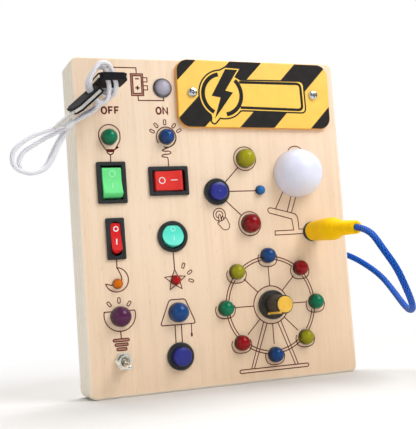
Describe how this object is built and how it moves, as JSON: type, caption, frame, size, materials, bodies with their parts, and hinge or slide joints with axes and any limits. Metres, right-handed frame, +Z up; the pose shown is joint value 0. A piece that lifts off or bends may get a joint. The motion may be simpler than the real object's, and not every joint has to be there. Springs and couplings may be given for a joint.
{
  "type": "wooden busy board",
  "caption": "Upright plywood busy board with rocker, toggle, push and key switches, coloured lamps, a turning dial, a domed lamp and a plug on a looped cord.",
  "frame": {"origin": "middle of the lower edge face, on which the board stands, at mid depth", "axes": "+Z up along the board's height, +X to the right seen from the front, the face with the switches looks along -Y"},
  "size_m": [0.2018, 0.1002, 0.171],
  "materials": {
    "birch_ply": "clear matt lacquer on pale birch plywood",
    "board_green": "solder mask",
    "button_blue": "glossy cap",
    "cell_metal": "plain metal jacket",
    "contact_metal": "nickel plated",
    "cord_blue": "braided sleeve",
    "cord_white": "soft woven",
    "dome_white": "frosted translucent shell",
    "gland_black": "soft grommet",
    "jack_black": "moulded black",
    "key_black": "moulded head",
    "key_metal": "nickel plated",
    "knob_black": "satin black",
    "knob_yellow": "satin yellow",
    "lens_blue": "clear tinted epoxy",
    "lens_green": "clear tinted epoxy",
    "lens_grey": "diffused epoxy",
    "lens_lime": "clear tinted epoxy",
    "lens_orange": "clear tinted epoxy",
    "lens_purple": "clear tinted epoxy",
    "lens_red": "clear tinted epoxy",
    "lens_white": "clear epoxy",
    "lens_yellow": "clear tinted epoxy",
    "lock_chrome": "polished",
    "nut_nickel": "nickel plated",
    "pin_metal": "nickel plated",
    "plug_yellow": "soft moulded grip",
    "pot_metal": "plated can",
    "rocker_green": "translucent green",
    "rocker_red": "translucent red",
    "rocker_teal": "translucent teal",
    "screw_steel": "bright zinc",
    "sleeve_white": "soft moulded",
    "switch_black": "moulded black",
    "tinned_metal": "tinned",
    "tray_plastic": "moulded black",
    "yellow_plate": "satin yellow sheet with black diagonal bars"
  },
  "bodies": {
    "board": {"front_panel": "birch_ply", "rim_frame": "birch_ply", "back_panel": "birch_ply", "pan_screws": "screw_steel", "cover_plate": "yellow_plate", "battery_tray": "tray_plastic", "battery_cells": "cell_metal", "battery_contacts": "contact_metal", "led_grey": "lens_grey", "led_green": "lens_green", "led_blue": "lens_blue", "led_orange": "lens_orange", "led_star_red": "lens_red", "led_purple": "lens_purple", "led_shade_blue": "lens_blue", "led_yellow": "lens_yellow", "led_press_red": "lens_red", "led_small_blue": "lens_blue", "led_lamp": "lens_white", "wheel_leds_blue": "lens_blue", "wheel_leds_red": "lens_red", "wheel_leds_green": "lens_green", "wheel_leds_lime": "lens_lime", "lamp_dome": "dome_white", "rocker_housings": "switch_black", "housing_slim": "switch_black", "housing_round": "switch_black", "button_bezels": "switch_black", "button_nuts": "switch_black", "toggle_body": "nut_nickel", "toggle_nut": "nut_nickel", "pot_body": "pot_metal", "pot_nut": "nut_nickel", "jack_body": "jack_black", "jack_nut": "jack_black", "cord_gland": "gland_black", "lock_case": "lock_chrome", "lock_nut": "nut_nickel", "control_board": "board_green", "leads": "tinned_metal"},
    "rocker_green": {"rocker_green": "rocker_green"},
    "rocker_red": {"rocker_red": "rocker_red"},
    "rocker_slim": {"rocker_slim": "rocker_red"},
    "rocker_round": {"rocker_round": "rocker_teal"},
    "button_mid": {"button_cap_mid": "button_blue"},
    "button_low": {"button_cap_low": "button_blue"},
    "toggle": {"toggle_lever": "nut_nickel"},
    "knob": {"knob_body": "knob_black", "knob_cap": "knob_yellow", "pot_shaft": "pot_metal"},
    "plug": {"plug_shell": "plug_yellow", "plug_pin": "pin_metal", "blue_cord": "cord_blue"},
    "cylinder": {"lock_cylinder": "lock_chrome"},
    "keys": {"key_blade": "key_metal", "key_head": "key_black", "spare_key_blade": "key_metal", "spare_key_head": "key_black", "white_cord": "cord_white", "cord_sleeve": "sleeve_white"}
  },
  "joints": [
    {"name": "green_rock", "type": "hinge", "parent": "board", "child": "rocker_green", "pos_m": [-0.0566, -0.0085, 0.1062], "axis": [1, 0, 0], "range_deg": [0, 20]},
    {"name": "red_rock", "type": "hinge", "parent": "board", "child": "rocker_red", "pos_m": [-0.0266, -0.0085, 0.1064], "axis": [0, 0, 1], "range_deg": [0, 20]},
    {"name": "slim_rock", "type": "hinge", "parent": "board", "child": "rocker_slim", "pos_m": [-0.0564, -0.0085, 0.078], "axis": [1, 0, 0], "range_deg": [0, 20]},
    {"name": "round_rock", "type": "hinge", "parent": "board", "child": "rocker_round", "pos_m": [-0.0266, -0.01, 0.0778], "axis": [1, 0, 0], "range_deg": [0, 20]},
    {"name": "mid_press", "type": "slide", "parent": "board", "child": "button_mid", "axis": [0, 1, 0], "range_m": [0, 0.0025], "stiffness_N_per_m": 300},
    {"name": "low_press", "type": "slide", "parent": "board", "child": "button_low", "axis": [0, 1, 0], "range_m": [0, 0.0025], "stiffness_N_per_m": 300},
    {"name": "toggle_flip", "type": "hinge", "parent": "board", "child": "toggle", "pos_m": [-0.0564, -0.0125, 0.0178], "axis": [-1, 0, 0], "range_deg": [0, 32]},
    {"name": "knob_turn", "type": "hinge", "parent": "board", "child": "knob", "pos_m": [0.0255, -0.0105, 0.0394], "axis": [0, 1, 0], "range_deg": [0, 300]},
    {"name": "plug_pull", "type": "slide", "parent": "board", "child": "plug", "axis": [0, -1, 0], "range_m": [0, 0.015], "deforming": ["blue_cord"]},
    {"name": "key_turn", "type": "hinge", "parent": "board", "child": "cylinder", "pos_m": [-0.057, -0.0105, 0.1543], "axis": [0, 1, 0], "range_deg": [0, 90]},
    {"name": "key_pull", "type": "slide", "parent": "cylinder", "child": "keys", "axis": [0, -1, 0], "range_m": [0, 0.018]}
  ]
}
